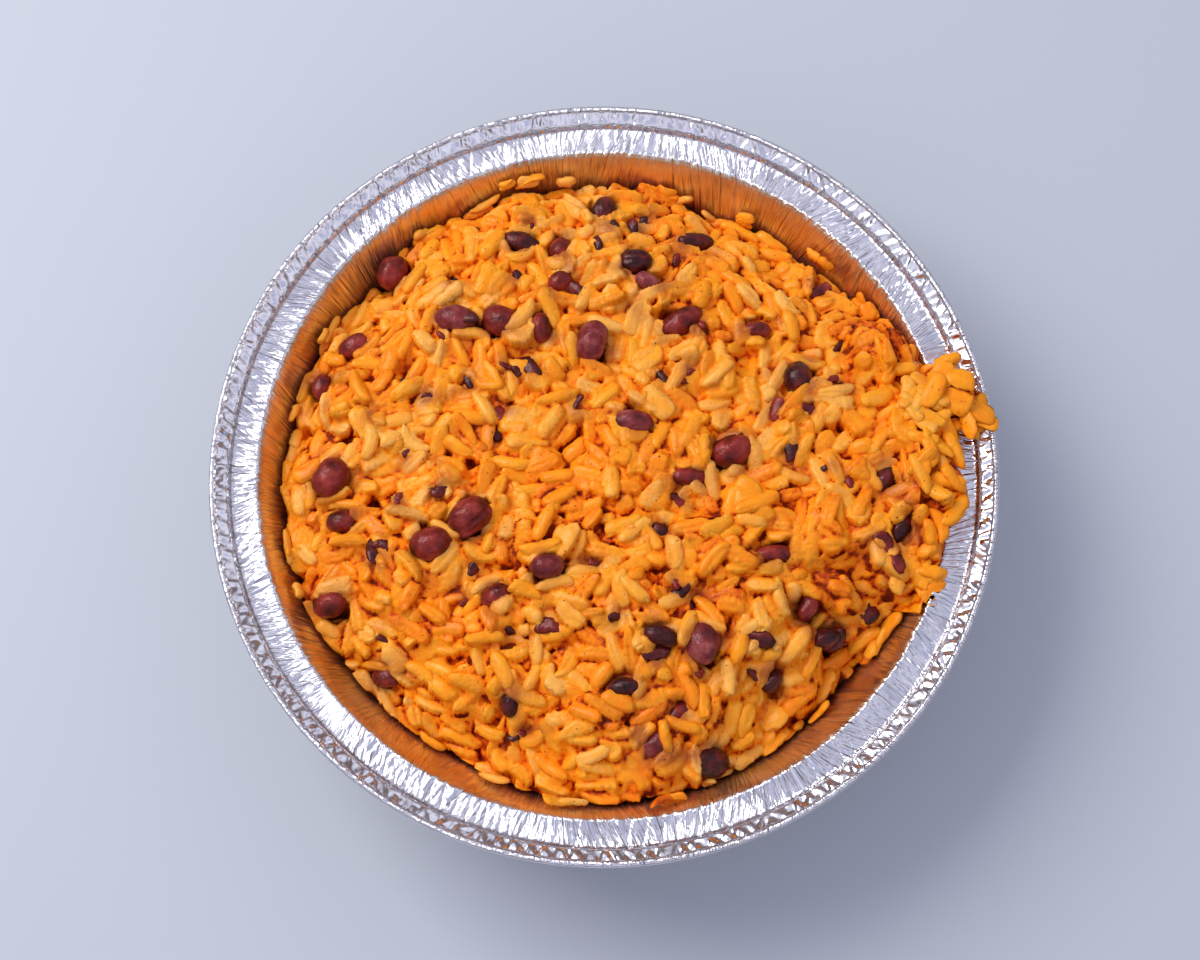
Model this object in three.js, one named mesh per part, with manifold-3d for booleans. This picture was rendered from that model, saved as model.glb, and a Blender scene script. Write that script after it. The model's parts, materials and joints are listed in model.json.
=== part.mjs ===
// Round aluminium-foil take-away pan filled with orange rice and small red beans.
// Millimetres, +Z up. The origin is the centre of the pan's flat base; +Y is the far side.
import * as THREE from "three";
import * as BufferGeometryUtils from "three/addons/utils/BufferGeometryUtils.js";
import Module from "manifold-3d";

const wasm = await Module();
wasm.setup();

// Pan: the standard seven-inch round take-away size, 181 mm over the lip.
const FOIL = 0.6;
const BASE_RADIUS = 63.5;
const BASE_CORNER = 2.0;
const RIM_RADIUS = 79.2;
const RIM_Z = 41.0;
const SHELF_RADIUS = 86.0;
const LIP_RADIUS = 89.7;
const LIP_Z = 44.0;
const ROLL_RADIUS = 0.8;
const AROUND = 64;
const LIP_PLEAT = 0.18;

// Rice heap.
const GAP = 0.35;
const HEAP_RINGS = 10;
const CROWN_Z = 43.5;
const EDGE_DROP = 9.5;

// Beans: a faceted kidney with this many sides and bands.
const BEAN_SIDES = 8;
const BEAN_BANDS = 4;
const SEAT = 0.3;

const COLOURS = { foil: 0xc6c8cf, rice: 0xe8932f, maroon: 0x5c1d1c, purple: 0x57303a, dark: 0x2c1516 };

const rad = (degrees) => (degrees * Math.PI) / 180;

// Outside radius of the straight tapered wall at a height.
function wallRadius(z) {
  const low = BASE_RADIUS + 0.8;
  return low + ((RIM_RADIUS + FOIL - low) * (z - BASE_CORNER)) / (RIM_Z - FOIL - BASE_CORNER);
}

// A smooth hump of the given half width, centred on a direction round the pan.
function hump(angle, centre, width) {
  let d = Math.atan2(Math.sin(angle - rad(centre)), Math.cos(angle - rad(centre)));
  d /= rad(width);
  return Math.exp(-d * d);
}

// Height where the rice meets the wall, in a direction round the pan.
function edgeHeight(angle) {
  let drop = EDGE_DROP;
  drop += 9.5 * hump(angle, -128, 26);
  drop += 9.5 * hump(angle, -47, 25);
  drop += 4.5 * hump(angle, 52, 26);
  drop += 0.5 * hump(angle, 175, 28);
  drop -= 11.5 * hump(angle, 3, 24);
  return RIM_Z - drop;
}

// Height of the lumpy top of the rice.
function riceHeight(x, y) {
  const angle = Math.atan2(y, x);
  const edge = edgeHeight(angle);
  const reach = Math.min(1, Math.hypot(x, y) / innerRadius(edge));
  const crown = CROWN_Z + 0.03 * x - 0.01 * y;
  let z = edge + (crown - edge) * (1 - Math.pow(reach, 5));
  const calm = 1 - Math.pow(reach, 8);
  z += calm * 1.3 * Math.sin(0.16 * x + 0.7) * Math.cos(0.14 * y - 0.5);
  z += calm * 0.8 * Math.sin(0.31 * x - 0.23 * y + 1.9);
  return z;
}

// Radius of the rice where it meets the wall at a height.
function innerRadius(z) {
  return wallRadius(z) - FOIL - GAP;
}

function geometryFrom(points, faces) {
  const geometry = new THREE.BufferGeometry();
  geometry.setAttribute("position", new THREE.Float32BufferAttribute(points, 3));
  geometry.setIndex(faces);
  return geometry;
}

// The foil's section as one closed outline, turned about the middle.
function panProfile() {
  const inner = wallRadius(BASE_CORNER) - FOIL;
  const points = [
    [0, 0],
    [BASE_RADIUS - 1.2, 0],
    [BASE_RADIUS + 0.1, 0.5],
    [wallRadius(BASE_CORNER), BASE_CORNER],
    [RIM_RADIUS + FOIL, RIM_Z - FOIL],
    [SHELF_RADIUS + 0.2, RIM_Z - FOIL],
    [LIP_RADIUS - 0.2, LIP_Z - 1.2],
  ];
  for (let k = 0; k <= 4; k += 1) {
    const turn = rad(-70 + 62 * k);
    points.push([LIP_RADIUS + ROLL_RADIUS * Math.cos(turn), LIP_Z + ROLL_RADIUS * Math.sin(turn)]);
  }
  points.push([SHELF_RADIUS - 0.2, RIM_Z]);
  points.push([RIM_RADIUS, RIM_Z]);
  points.push([inner - 0.1, BASE_CORNER + 0.2]);
  points.push([inner - 1.6, FOIL]);
  points.push([0, FOIL]);
  return points.map(([r, z]) => new THREE.Vector2(r, z));
}

// The pan, with small pleats pressed round the flared lip.
function pan() {
  const lathe = new THREE.LatheGeometry(panProfile(), AROUND);
  lathe.rotateX(Math.PI / 2);
  const place = lathe.attributes.position;
  for (let i = 0; i < place.count; i += 1) {
    const x = place.getX(i);
    const y = place.getY(i);
    const z = place.getZ(i);
    const r = Math.hypot(x, y);
    if (r > SHELF_RADIUS + 1.5) {
      const pleat = LIP_PLEAT * Math.cos((AROUND / 2) * Math.atan2(y, x));
      place.setXYZ(i, x * (1 + pleat / r), y * (1 + pleat / r), z + pleat);
    }
  }
  return lathe;
}

// The space that the pan and a small gap take up, so rice cut by it can't touch the foil.
function panKeepOut() {
  const lift = GAP + LIP_PLEAT;
  const outline = [
    [0, -5],
    [110, -5],
    [110, LIP_Z + ROLL_RADIUS + lift],
    [LIP_RADIUS - 0.9, LIP_Z + ROLL_RADIUS + lift],
    [SHELF_RADIUS - 0.5, RIM_Z + lift],
    [RIM_RADIUS - 0.3, RIM_Z + lift],
    [innerRadius(BASE_CORNER) - 0.1, BASE_CORNER],
    [innerRadius(BASE_CORNER) - 2, FOIL + GAP - 0.05],
    [0, FOIL + GAP - 0.05],
  ];
  const lathe = new THREE.LatheGeometry(outline.map(([r, z]) => new THREE.Vector2(r, z)), AROUND);
  lathe.rotateX(Math.PI / 2);
  return lathe;
}

// The rice in the bowl of the pan: rings for the lumpy top, then the wall side and the base.
function bowlOfRice() {
  const points = [0, 0, riceHeight(0, 0)];
  const faces = [];
  const ringAt = (k) => 1 + (k - 1) * AROUND;
  for (let k = 1; k <= HEAP_RINGS; k += 1) {
    const share = Math.pow(k / HEAP_RINGS, 0.85);
    for (let i = 0; i < AROUND; i += 1) {
      const angle = (2 * Math.PI * i) / AROUND;
      const r = share * innerRadius(edgeHeight(angle));
      const x = r * Math.cos(angle);
      const y = r * Math.sin(angle);
      points.push(x, y, riceHeight(x, y));
    }
  }
  for (const [r, z] of [[innerRadius(BASE_CORNER) - 0.3, BASE_CORNER + 0.3],
    [innerRadius(BASE_CORNER) - 2.2, FOIL + GAP]]) {
    for (let i = 0; i < AROUND; i += 1) {
      const angle = (2 * Math.PI * i) / AROUND;
      points.push(r * Math.cos(angle), r * Math.sin(angle), z);
    }
  }
  const last = HEAP_RINGS + 2;
  points.push(0, 0, FOIL + GAP);
  for (let i = 0; i < AROUND; i += 1) {
    const j = (i + 1) % AROUND;
    faces.push(0, ringAt(1) + i, ringAt(1) + j);
    for (let k = 1; k < last; k += 1) {
      faces.push(ringAt(k) + i, ringAt(k + 1) + i, ringAt(k + 1) + j);
      faces.push(ringAt(k) + i, ringAt(k + 1) + j, ringAt(k) + j);
    }
    faces.push(ringAt(last) + i, ringAt(last) + AROUND, ringAt(last) + j);
  }
  return geometryFrom(points, faces);
}

// A lump of stuck grains lying over the edge: a flattened ball with an uneven skin.
function lump([x, y, z], [a, b, c], turn) {
  const ball = new THREE.IcosahedronGeometry(1, 2);
  ball.deleteAttribute("normal");
  ball.deleteAttribute("uv");
  const merged = BufferGeometryUtils.mergeVertices(ball, 1e-4);
  const place = merged.attributes.position;
  for (let i = 0; i < place.count; i += 1) {
    const u = place.getX(i);
    const v = place.getY(i);
    const w = place.getZ(i);
    const swell = 1 + 0.1 * Math.sin(5 * u + 2 * v + x) + 0.07 * Math.sin(6 * v - 4 * w + y);
    place.setXYZ(i, a * u * swell, b * v * swell, c * w * swell);
  }
  merged.rotateZ(rad(turn));
  merged.translate(x, y, z);
  return merged;
}

// Lumps that carry the heap over the rim on the +X side.
const LUMPS = [
  { at: [81.2, 13.6, 46.0], half: [7.0, 6.4, 3.3], turn: 10 },
  { at: [85.6, 7.8, 46.2], half: [4.0, 4.6, 1.8], turn: -10 },
  { at: [71.2, 6.0, 42.6], half: [9.4, 11.5, 5.0], turn: 5 },
  { at: [72.2, -9.5, 41.8], half: [10.4, 10.2, 4.8], turn: -8 },
  { at: [68.4, -22.8, 40.2], half: [9.6, 8.8, 4.6], turn: -20 },
  { at: [65.2, 23.0, 41.2], half: [8.2, 8.6, 4.6], turn: 20 },
];

// Beans that show: place, length, width, turn, how deep each sits (share of its thickness), skin.
const BEANS = [
  { at: [-46.5, 54.5], long: 8.4, wide: 7.8, turn: 60, sunk: 0.35, skin: "maroon" },
  { at: [-56.5, 36.0], long: 8.2, wide: 6.2, turn: 20, sunk: 0.45, skin: "maroon" },
  { at: [-64.5, 27.0], long: 6.6, wide: 5.6, turn: 80, sunk: 0.45, skin: "maroon" },
  { at: [-32.0, 39.5], long: 9.6, wide: 7.0, turn: -10, sunk: 0.4, skin: "purple" },
  { at: [-21.5, 38.0], long: 9.4, wide: 8.2, turn: -30, sunk: 0.35, skin: "maroon" },
  { at: [-12.5, 35.5], long: 7.2, wide: 5.8, turn: 90, sunk: 0.55, skin: "maroon" },
  { at: [-15.5, 58.5], long: 9.2, wide: 5.6, turn: -20, sunk: 0.5, skin: "dark" },
  { at: [-6.5, 56.0], long: 6.6, wide: 5.6, turn: 80, sunk: 0.5, skin: "maroon" },
  { at: [-7.0, 47.0], long: 6.2, wide: 5.4, turn: 30, sunk: 0.5, skin: "maroon" },
  { at: [4.5, 66.5], long: 7.6, wide: 6.4, turn: 60, sunk: 0.45, skin: "dark" },
  { at: [-0.5, 31.0], long: 10.2, wide: 7.8, turn: 70, sunk: 0.4, skin: "purple" },
  { at: [11.0, 50.5], long: 8.0, wide: 6.4, turn: 0, sunk: 0.4, skin: "dark" },
  { at: [13.5, 45.0], long: 6.4, wide: 5.0, turn: -30, sunk: 0.5, skin: "purple" },
  { at: [26.0, 57.0], long: 9.4, wide: 4.8, turn: 5, sunk: 0.45, skin: "dark" },
  { at: [20.5, 34.5], long: 10.8, wide: 6.6, turn: 25, sunk: 0.5, skin: "maroon" },
  { at: [38.0, 31.5], long: 6.6, wide: 4.6, turn: 0, sunk: 0.4, skin: "maroon" },
  { at: [46.5, 18.5], long: 8.2, wide: 7.4, turn: 90, sunk: 0.35, skin: "dark" },
  { at: [29.5, 2.5], long: 10.2, wide: 8.2, turn: 15, sunk: 0.35, skin: "maroon" },
  { at: [7.5, 10.5], long: 9.4, wide: 6.2, turn: -10, sunk: 0.5, skin: "purple" },
  { at: [19.5, -3.0], long: 8.8, wide: 4.8, turn: 0, sunk: 0.55, skin: "maroon" },
  { at: [-62.5, 3.5], long: 9.8, wide: 9.0, turn: 50, sunk: 0.3, skin: "maroon" },
  { at: [-61.0, -6.5], long: 7.2, wide: 6.0, turn: 0, sunk: 0.5, skin: "maroon" },
  { at: [-40.5, -14.0], long: 9.4, wide: 8.6, turn: 10, sunk: 0.25, skin: "maroon" },
  { at: [-31.0, -9.0], long: 10.6, wide: 9.2, turn: 30, sunk: 0.4, skin: "maroon" },
  { at: [-14.5, -22.0], long: 7.6, wide: 6.4, turn: 0, sunk: 0.4, skin: "purple" },
  { at: [-26.5, -27.5], long: 7.2, wide: 5.8, turn: 20, sunk: 0.55, skin: "maroon" },
  { at: [-64.5, -24.5], long: 9.0, wide: 7.2, turn: 10, sunk: 0.35, skin: "maroon" },
  { at: [-53.0, -42.0], long: 7.2, wide: 5.4, turn: 0, sunk: 0.5, skin: "maroon" },
  { at: [-24.5, -51.5], long: 6.2, wide: 4.8, turn: 75, sunk: 0.35, skin: "dark" },
  { at: [1.0, -50.5], long: 7.2, wide: 4.8, turn: 0, sunk: 0.4, skin: "dark" },
  { at: [10.0, -40.0], long: 8.2, wide: 5.4, turn: -20, sunk: 0.5, skin: "dark" },
  { at: [19.0, -41.5], long: 9.8, wide: 8.8, turn: 80, sunk: 0.35, skin: "purple" },
  { at: [34.5, -50.0], long: 5.8, wide: 4.8, turn: 50, sunk: 0.45, skin: "dark" },
  { at: [37.0, -22.5], long: 9.6, wide: 4.6, turn: 0, sunk: 0.45, skin: "maroon" },
  { at: [44.0, -34.5], long: 6.8, wide: 4.8, turn: 60, sunk: 0.45, skin: "maroon" },
  { at: [48.0, -41.0], long: 6.8, wide: 5.6, turn: 10, sunk: 0.45, skin: "dark" },
  { at: [64.5, -6.5], long: 8.2, wide: 5.4, turn: 40, sunk: 0.4, skin: "dark" },
  { at: [67.0, -17.5], long: 9.0, wide: 4.8, turn: 50, sunk: 0.4, skin: "dark" },
  { at: [7.0, -62.5], long: 8.6, wide: 7.0, turn: 20, sunk: 0.45, skin: "purple" },
  { at: [18.5, -66.8], long: 9.8, wide: 8.0, turn: -10, sunk: 0.35, skin: "dark" },
];

// A bean: an egg shape with a shallow dent along one long side, lying flat.
function bean({ long, wide }, spread) {
  const points = [0, 0, -1];
  const faces = [];
  for (let k = 1; k < BEAN_BANDS; k += 1) {
    const up = -Math.PI / 2 + (Math.PI * k) / BEAN_BANDS;
    for (let i = 0; i < BEAN_SIDES; i += 1) {
      const round = (2 * Math.PI * i) / BEAN_SIDES;
      points.push(Math.cos(up) * Math.cos(round), Math.cos(up) * Math.sin(round), Math.sin(up));
    }
  }
  points.push(0, 0, 1);
  const top = 1 + (BEAN_BANDS - 1) * BEAN_SIDES;
  for (let i = 0; i < BEAN_SIDES; i += 1) {
    const j = (i + 1) % BEAN_SIDES;
    faces.push(0, 1 + j, 1 + i);
    for (let k = 0; k < BEAN_BANDS - 2; k += 1) {
      const low = 1 + k * BEAN_SIDES;
      faces.push(low + i, low + j, low + BEAN_SIDES + j);
      faces.push(low + i, low + BEAN_SIDES + j, low + BEAN_SIDES + i);
    }
    faces.push(top - BEAN_SIDES + i, top - BEAN_SIDES + j, top);
  }
  const a = long / 2 + spread;
  const b = wide / 2 + spread;
  const c = 0.45 * wide + spread;
  for (let n = 0; n < points.length; n += 3) {
    const dent = 0.14 * (1 - points[n] * points[n]) * Math.max(0, points[n + 1]);
    points[n] *= a;
    points[n + 1] = points[n + 1] * b * (1 - dent);
    points[n + 2] *= c;
  }
  return geometryFrom(points, faces);
}

// Turn a bean and seat it in the top of the rice, leaning with the slope there.
function seat(geometry, row) {
  const [x, y] = row.at;
  const step = 3;
  const slopeX = (riceHeight(x + step, y) - riceHeight(x - step, y)) / (2 * step);
  const slopeY = (riceHeight(x, y + step) - riceHeight(x, y - step)) / (2 * step);
  const up = new THREE.Vector3(-slopeX, -slopeY, 1).normalize();
  geometry.rotateZ(rad(row.turn));
  geometry.rotateX(rad(12 * Math.sin(row.turn + x)));
  geometry.applyQuaternion(new THREE.Quaternion().setFromUnitVectors(new THREE.Vector3(0, 0, 1), up));
  const lift = 0.9 * row.wide * (0.5 - row.sunk);
  const base = riceHeight(x, y);
  geometry.translate(x + up.x * lift, y + up.y * lift, base + up.z * lift);
  return geometry;
}

function toSolid(geometry) {
  const bare = geometry.clone();
  bare.deleteAttribute("normal");
  bare.deleteAttribute("uv");
  const merged = BufferGeometryUtils.mergeVertices(bare, 1e-4);
  return new wasm.Manifold(new wasm.Mesh({
    numProp: 3,
    vertProperties: Float32Array.from(merged.attributes.position.array),
    triVerts: Uint32Array.from(merged.index.array),
  }));
}

function fromSolid(solid) {
  const mesh = solid.getMesh();
  return geometryFrom(Array.from(mesh.vertProperties), Array.from(mesh.triVerts));
}

// The heap: the bowl of rice and its lumps, less the pan's space and a pocket for each bean.
function riceHeap() {
  let heap = toSolid(bowlOfRice());
  const keepOut = toSolid(panKeepOut());
  for (const { at, half, turn } of LUMPS) {
    heap = heap.add(toSolid(lump(at, half, turn)).subtract(keepOut));
  }
  for (const row of BEANS) {
    heap = heap.subtract(toSolid(seat(bean(row, SEAT), row)));
  }
  const pieces = heap.decompose();
  pieces.sort((a, b) => b.volume() - a.volume());
  return fromSolid(pieces[0]);
}

function paint(colour, roughness, metalness) {
  return new THREE.MeshStandardMaterial({ color: colour, roughness, metalness });
}

const group = new THREE.Group();

function addPart(name, geometry, material) {
  const mesh = new THREE.Mesh(geometry, material);
  mesh.name = name;
  group.add(mesh);
}

addPart("pan_foil", pan(), paint(COLOURS.foil, 0.3, 1));
addPart("rice_heap", riceHeap(), paint(COLOURS.rice, 0.6, 0));
BEANS.forEach((row, n) => {
  const name = `bean_${String(n + 1).padStart(2, "0")}`;
  addPart(name, seat(bean(row, 0), row), paint(COLOURS[row.skin], 0.35, 0));
});

export default group;
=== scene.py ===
# %% [markdown]
# # A foil pan of rice and beans
# The object is a round take-away pan of thin aluminium foil, filled with moist orange rice and small
# red beans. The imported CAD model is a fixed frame: it gives the pan's size, the outline of the heap and
# the place of every bean. Each visible piece is worked out here as a surface in numpy and stands for
# its CAD node. Everything is measured in millimetres and turned into metres when a mesh is made.

import json
import math

import bpy
import numpy as np
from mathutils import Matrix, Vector
from mathutils.bvhtree import BVHTree


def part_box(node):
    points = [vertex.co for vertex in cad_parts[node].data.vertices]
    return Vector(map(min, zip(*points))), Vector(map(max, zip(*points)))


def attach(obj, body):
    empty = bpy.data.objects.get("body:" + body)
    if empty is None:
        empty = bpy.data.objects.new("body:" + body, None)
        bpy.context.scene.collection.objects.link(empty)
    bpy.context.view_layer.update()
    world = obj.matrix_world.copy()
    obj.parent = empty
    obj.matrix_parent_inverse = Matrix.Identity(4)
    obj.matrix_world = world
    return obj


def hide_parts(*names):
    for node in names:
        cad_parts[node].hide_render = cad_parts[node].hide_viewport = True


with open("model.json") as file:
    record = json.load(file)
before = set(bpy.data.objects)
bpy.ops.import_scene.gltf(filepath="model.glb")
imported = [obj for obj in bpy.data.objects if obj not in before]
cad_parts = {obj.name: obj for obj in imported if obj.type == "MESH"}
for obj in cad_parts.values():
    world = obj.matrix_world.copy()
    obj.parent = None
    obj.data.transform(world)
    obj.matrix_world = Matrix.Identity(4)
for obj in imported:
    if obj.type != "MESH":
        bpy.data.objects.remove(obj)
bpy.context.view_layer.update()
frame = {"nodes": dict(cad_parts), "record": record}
MM = 0.001
TURN = 2 * math.pi

# %% Sizes of the pan, from its CAD node
pan_low, pan_high = (np.array(corner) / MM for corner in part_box("pan_foil"))
OUTER_RADIUS = (pan_high[0] - pan_low[0]) / 2
LIP_TOP = pan_high[2]
RIM_Z = LIP_TOP - 3.9
RIM_RADIUS = OUTER_RADIUS - 11.5
SHELF_RADIUS = OUTER_RADIUS - 4.7
BASE_RADIUS = 62.5
FOIL = 0.25
print(f"pan {2 * OUTER_RADIUS:.1f} mm over the lip, {LIP_TOP:.1f} mm high")

# %% [markdown]
# ## Helpers for surfaces
# A surface is a grid of points: rows run along one parameter and columns along the other. Two index
# arrays shifted by one give every four-sided face at once, so no loop visits a vertex.


# %% Grid faces and mesh maker
def grid_faces(rows, cols, wrap=True):
    """Faces of a rows x cols grid of points; with wrap the last column joins the first."""
    across = np.arange(cols if wrap else cols - 1)
    r, c = np.meshgrid(np.arange(rows - 1), across, indexing="ij")
    right = (c + 1) % cols
    corners = [r * cols + c, r * cols + right, (r + 1) * cols + right, (r + 1) * cols + c]
    return np.stack([k.ravel() for k in corners], axis=1)


def fan_faces(ring_start, cols, pole, flip=False):
    """Triangles that close a ring of points onto one pole point."""
    c = np.arange(cols)
    a, b = ring_start + c, ring_start + (c + 1) % cols
    return np.stack([b, a, np.full(cols, pole)] if flip else [a, b, np.full(cols, pole)], axis=1)


def tube_faces(rows, cols):
    """Faces of a round grid closed at both ends, whose two end points come after the grid's own: the
    four-sided ones, then the triangles."""
    first_end = fan_faces(0, cols, rows * cols, flip=True)
    last_end = fan_faces((rows - 1) * cols, cols, rows * cols + 1)
    return grid_faces(rows, cols), np.concatenate([first_end, last_end])


def many_tubes(count, rows, cols):
    """Faces of many such grids, one after another."""
    starts = (np.arange(count) * (rows * cols + 2))[:, None, None]
    quads, tips = tube_faces(rows, cols)
    return (quads + starts).reshape(-1, 4), (tips + starts).reshape(-1, 3)


def make_piece(name, points, face_sets, material, values=None, smooth_sets=None):
    """A mesh object from points in mm, lists of equal-sided faces and named numbers per point. The face
    lists are all smooth, or only as many of the first ones as smooth_sets says."""
    mesh = bpy.data.meshes.new(name)
    mesh.vertices.add(len(points))
    mesh.vertices.foreach_set("co", (np.asarray(points) * MM).astype(np.float32).ravel())
    corners = np.concatenate([f.ravel() for f in face_sets]).astype(np.int32)
    sides = np.concatenate([np.full(len(f), f.shape[1]) for f in face_sets])
    mesh.loops.add(len(corners))
    mesh.loops.foreach_set("vertex_index", corners)
    mesh.polygons.add(len(sides))
    mesh.polygons.foreach_set("loop_start", (np.cumsum(sides) - sides).astype(np.int32))
    mesh.update(calc_edges=True)
    mesh.validate()
    mesh.shade_smooth()
    if smooth_sets is not None:
        smooth_faces = sum(len(f) for f in face_sets[:smooth_sets])
        mesh.polygons.foreach_set("use_smooth", np.arange(len(sides)) < smooth_faces)
    for key, numbers in (values or {}).items():
        numbers = np.asarray(numbers, np.float32)
        layer = mesh.attributes.new(key, "FLOAT" if numbers.ndim == 1 else "FLOAT_VECTOR", "POINT")
        layer.data.foreach_set("value" if numbers.ndim == 1 else "vector", numbers.ravel())
    mesh.materials.append(material)
    piece = bpy.data.objects.new(name, mesh)
    bpy.context.scene.collection.objects.link(piece)
    triangles = int((sides - 2).sum())
    print(f"{name}: {len(points)} points, {triangles} triangles")
    return piece


# %% Smooth noise
def wander(x, y, wavelength, seed, waves=14):
    """Smooth noise near -1 to 1: a sum of plane waves with random directions, lengths and phases."""
    dice = np.random.default_rng(seed)
    total = np.zeros(np.broadcast(x, y).shape)
    for _ in range(waves):
        way = dice.uniform(0, TURN)
        turn_rate = TURN / (wavelength * dice.uniform(0.7, 1.5))
        total += np.sin(turn_rate * (x * math.cos(way) + y * math.sin(way)) + dice.uniform(0, TURN))
    return total / math.sqrt(waves / 2) / 1.6


def fold(t):
    """A zigzag between 0 and 1: the sharp rise and fall of folded foil."""
    return 2 * np.abs(t - np.floor(t + 0.5))


# %% [markdown]
# ## Materials
# The foil is bare metal: nearly all of its look is what it reflects, so it needs little colour but real
# folds. The rice is moist and stained orange. One cloudy colour over the heap would run across the
# grains, so every grain carries its own tone, from tan to dark red, in a number kept on its points; the
# dark red is mostly painted shade, in the gaps, on the low sides of grains and on hidden sides. Bean
# skins are dark, smooth and wet.


# %% Node helpers
def new_material(name, **settings):
    """A node material and its main shader, with the sockets that stay constant set."""
    material = bpy.data.materials.new(name)
    material.use_nodes = True
    shader = material.node_tree.nodes["Principled BSDF"]
    for key, value in settings.items():
        shader.inputs[key.replace("_", " ")].default_value = value
    return material, material.node_tree, shader


def add_node(tree, kind, **settings):
    """A node of a kind, with its properties or its numbered sockets set."""
    node = tree.nodes.new(kind)
    for key, value in settings.items():
        if key.startswith("in_"):
            node.inputs[key[3:].replace("_", " ")].default_value = value
        else:
            setattr(node, key, value)
    return node


def add_point_value(tree, name, output="Fac"):
    """A number kept on the points of a mesh, or with output Vector three of them."""
    return add_node(tree, "ShaderNodeAttribute", attribute_name=name).outputs[output]


def add_sum(tree, first, second, clamp=False):
    """Two numbers added; with clamp the sum is held between 0 and 1."""
    node = add_node(tree, "ShaderNodeMath", operation="ADD", use_clamp=clamp)
    tree.links.new(first, node.inputs[0])
    tree.links.new(second, node.inputs[1])
    return node.outputs[0]


def add_noise(tree, scale, detail=3.0, rough=0.55, place=None):
    """Cloudy noise on Object coordinates, with scale in features per metre, or on a place of its own."""
    if place is None:
        place = add_node(tree, "ShaderNodeTexCoord").outputs["Object"]
    noise = add_node(tree, "ShaderNodeTexNoise", in_Scale=scale, in_Detail=detail, in_Roughness=rough)
    tree.links.new(place, noise.inputs["Vector"])
    return noise.outputs["Fac"]


def add_ramp(tree, source, stops):
    """Colours along a number from 0 to 1."""
    ramp = add_node(tree, "ShaderNodeValToRGB")
    elements = ramp.color_ramp.elements
    while len(elements) < len(stops):
        elements.new(0.5)
    for element, (position, colour) in zip(elements, stops):
        element.position = position
        element.color = (*colour, 1.0)
    tree.links.new(source, ramp.inputs["Fac"])
    return ramp.outputs["Color"]


def add_blend(tree, share, first, second, mode="MIX"):
    """Two colours mixed by a share; each may be a socket, a number or a colour."""
    mix = add_node(tree, "ShaderNodeMix", data_type="RGBA", blend_type=mode)
    for socket, value in ((mix.inputs[0], share), (mix.inputs[6], first), (mix.inputs[7], second)):
        if isinstance(value, bpy.types.NodeSocket):
            tree.links.new(value, socket)
        elif isinstance(value, tuple):
            socket.default_value = (*value, 1.0)
        else:
            socket.default_value = value
    return mix.outputs[2]


def add_range(tree, source, low, high, to_low=0.0, to_high=1.0):
    """A number stretched from one range to another and held inside it."""
    node = add_node(tree, "ShaderNodeMapRange", in_From_Min=low, in_From_Max=high,
                    in_To_Min=to_low, in_To_Max=to_high)
    tree.links.new(source, node.inputs["Value"])
    return node.outputs["Result"]


def add_bump(tree, shader, height, distance, strength=1.0):
    """Fine relief on a shader from a height between 0 and 1."""
    bump = add_node(tree, "ShaderNodeBump", in_Distance=distance, in_Strength=strength)
    tree.links.new(height, bump.inputs["Height"])
    tree.links.new(bump.outputs["Normal"], shader.inputs["Normal"])


# %% Foil
def foil_material():
    """Bright rolled foil with a faint haze. Fine creases come from a place on the rim whose points run
    round at one radius, so the noise stretches along each pleat; the lip has small flat-sided dents.
    On the inner wall a thin oil film tints the metal."""
    material, tree, shader = new_material("foil_bright", Metallic=1.0)
    cloud = add_noise(tree, 180, 4)
    colour = add_ramp(tree, cloud, [(0.3, (0.73, 0.73, 0.78)), (0.7, (0.88, 0.88, 0.93))])
    film = add_point_value(tree, "oily")
    oiled = add_ramp(tree, add_noise(tree, 90, 4), [(0.35, (0.78, 0.60, 0.38)), (0.65, (0.93, 0.82, 0.66))])
    colour = add_blend(tree, film, colour, oiled)
    tree.links.new(colour, shader.inputs["Base Color"])
    haze = add_sum(tree, add_range(tree, cloud, 0.3, 0.7, 0.10, 0.18), add_range(tree, film, 0, 1, 0.0, 0.20))
    tree.links.new(haze, shader.inputs["Roughness"])
    place = add_point_value(tree, "pleat_place", "Vector")
    crease = add_noise(tree, 0.8, 3.0, 0.5, place)
    dents = add_node(tree, "ShaderNodeTexVoronoi", distance="CHEBYCHEV", in_Scale=0.42)
    tree.links.new(place, dents.inputs["Vector"])
    ridges = add_range(tree, crease, 0.38, 0.62)
    height = add_node(tree, "ShaderNodeMix", data_type="FLOAT")
    tree.links.new(add_point_value(tree, "on_lip"), height.inputs[0])
    tree.links.new(ridges, height.inputs[2])
    tree.links.new(dents.outputs["Distance"], height.inputs[3])
    add_bump(tree, shader, height.outputs[0], 0.0005, 0.9)
    return material


# %% Rice
# The darkest reds at the end of the ramp are painted shade: cavities, low sides of grains and hidden sides reach
# them.
TAN = (0.92, 0.455, 0.090)
GOLDEN = (0.93, 0.36, 0.014)
ORANGE = (0.92, 0.240, 0.004)
RUST = (0.58, 0.066, 0.001)
SHADE_RED = (0.15, 0.006, 0.001)
STAINED = (0.34, 0.07, 0.018)
PEPPER = (0.14, 0.035, 0.010)
OIL_TINT = (1.0, 0.80, 0.50)


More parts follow.
